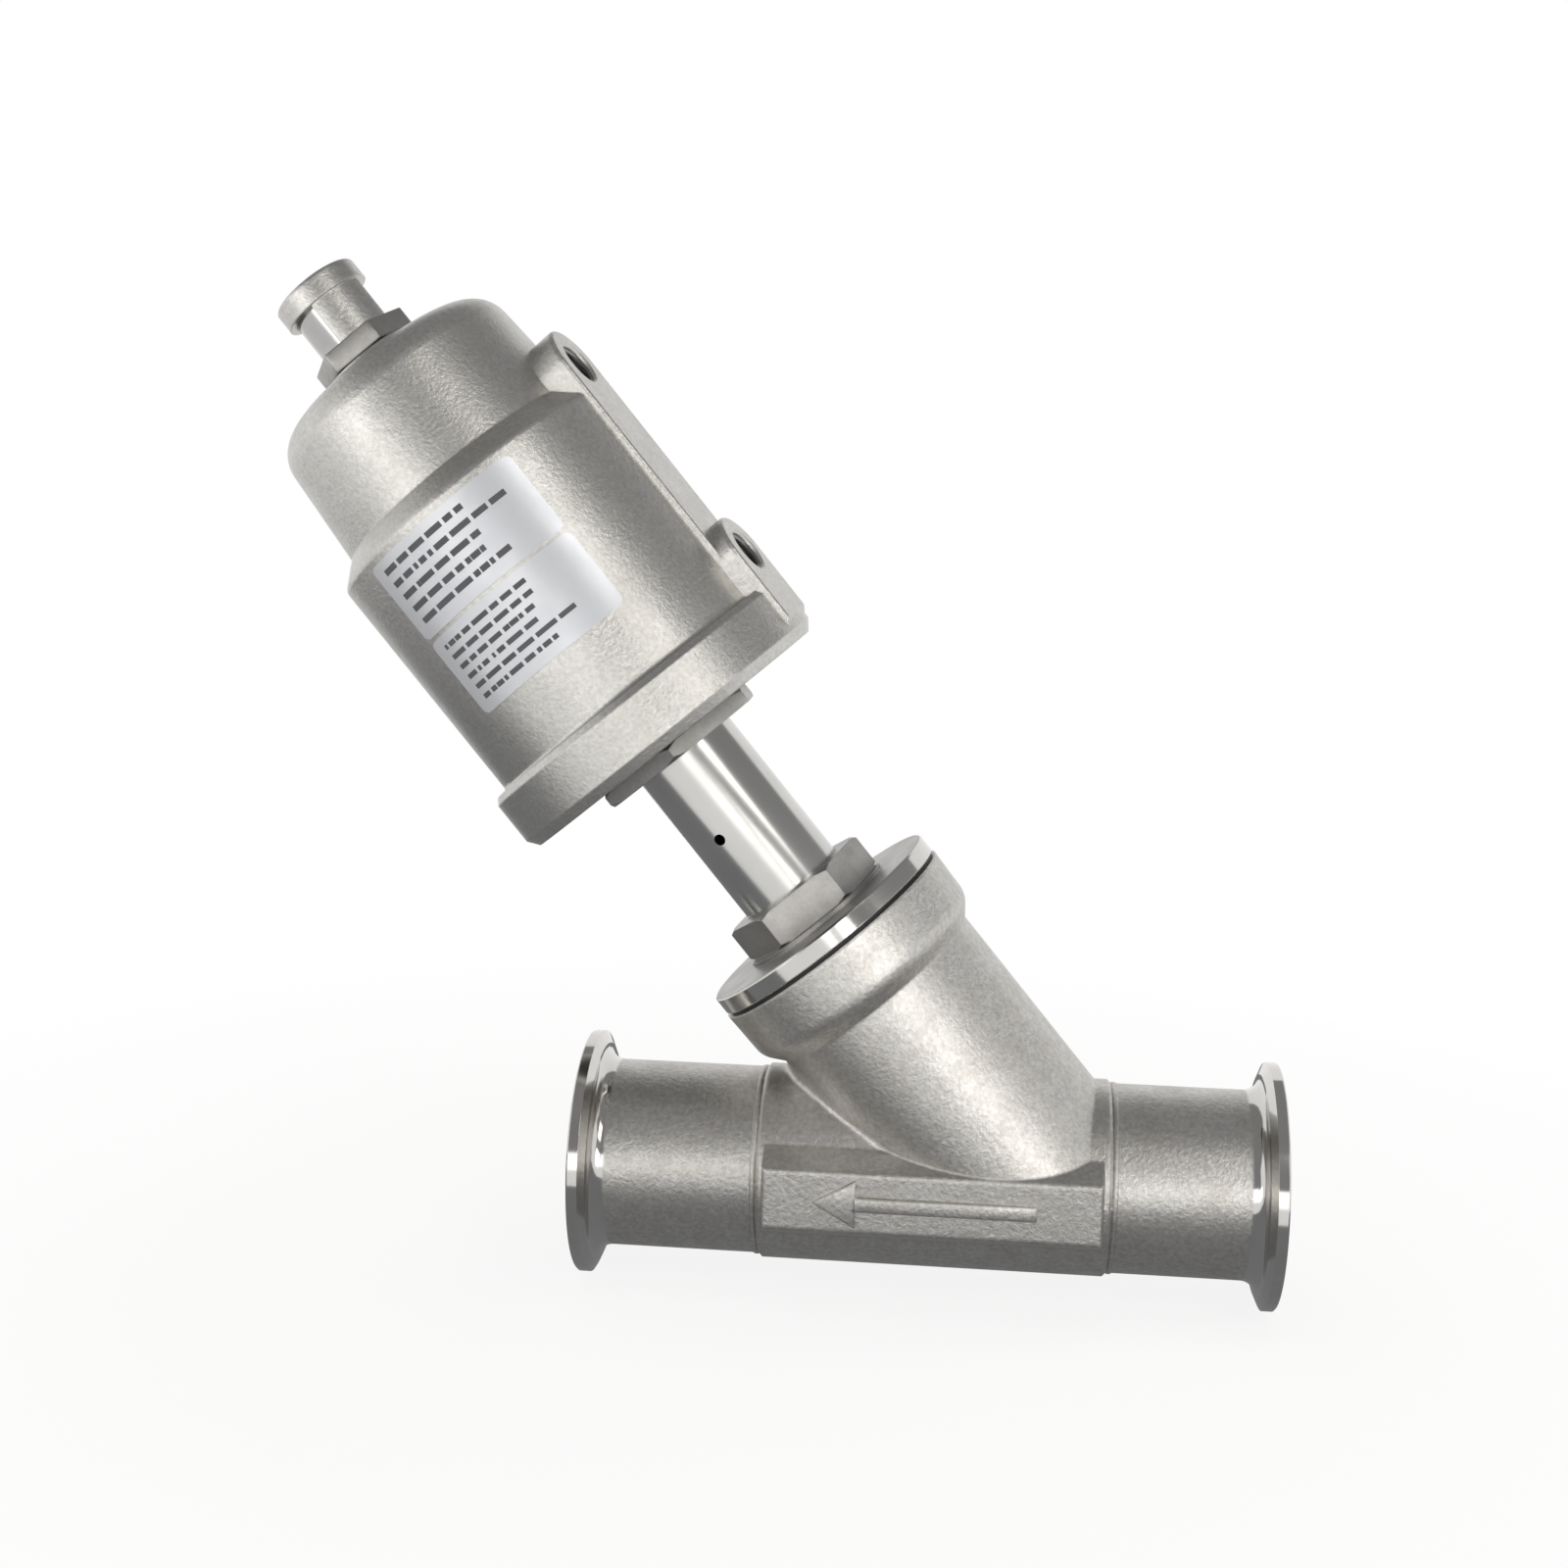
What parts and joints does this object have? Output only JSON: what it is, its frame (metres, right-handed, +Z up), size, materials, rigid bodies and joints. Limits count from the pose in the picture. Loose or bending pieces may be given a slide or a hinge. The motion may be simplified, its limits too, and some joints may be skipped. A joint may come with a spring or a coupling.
{
  "type": "angle seat valve",
  "caption": "Angle seat valve: clamp-ferruled cast body, leaning neck, polished tube and piston actuator with air ports and stroke indicator.",
  "frame": {"origin": "centre of the inlet ferrule face, on the pipe line", "axes": "+X out of the inlet along the pipe line, +Z up, the stem line leans towards -X in the XZ plane"},
  "size_m": [0.2078, 0.0736, 0.2092],
  "materials": {
    "cast_steel": "bead-blasted casting",
    "polished_steel": "mirror polished",
    "machined_steel": "fine turned and milled",
    "dark_rubber": "moulded",
    "white_ptfe": "turned",
    "bronze": "sintered",
    "aluminium": "turned",
    "spring_steel": "drawn wire",
    "label_film": "silvered film"
  },
  "bodies": {
    "fixed_valve": {"valve_body": "cast_steel", "body_gasket": "dark_rubber", "bonnet": "polished_steel", "neck_tube": "polished_steel", "packing_washer": "machined_steel", "packing_ring_1": "white_ptfe", "packing_ring_2": "white_ptfe", "packing_ring_3": "white_ptfe", "gland_follower": "machined_steel", "packing_spring": "spring_steel", "guide_bush": "bronze", "base_plate": "machined_steel", "base_o_ring": "dark_rubber", "base_bush": "bronze", "stem_o_ring": "dark_rubber"},
    "moving_stem": {"stem": "machined_steel", "plug_disc": "machined_steel", "plug_seal": "white_ptfe", "plug_washer": "machined_steel", "plug_nut": "machined_steel", "piston": "aluminium", "piston_seal": "dark_rubber", "guide_band": "white_ptfe", "piston_washer": "machined_steel", "piston_nut": "machined_steel", "indicator_rod": "machined_steel", "indicator_sleeve": "polished_steel"},
    "actuator": {"actuator_housing": "cast_steel", "retaining_clip": "spring_steel", "upper_label": "label_film", "lower_label": "label_film", "outer_spring": "spring_steel", "inner_spring": "spring_steel", "indicator_cover": "machined_steel", "cover_o_ring": "dark_rubber"}
  },
  "joints": [
    {"name": "stem_stroke", "type": "slide", "parent": "fixed_valve", "child": "moving_stem", "axis": [-0.6428, 0, 0.766], "range_m": [0, 0.012], "stiffness_N_per_m": 1500, "springref_m": -0.01, "deforming": ["outer_spring", "inner_spring"]},
    {"name": "actuator_swivel", "type": "hinge", "parent": "fixed_valve", "child": "actuator", "pos_m": [-0.12853, 0, 0.09193], "axis": [-0.6428, 0, 0.766], "continuous": true}
  ]
}
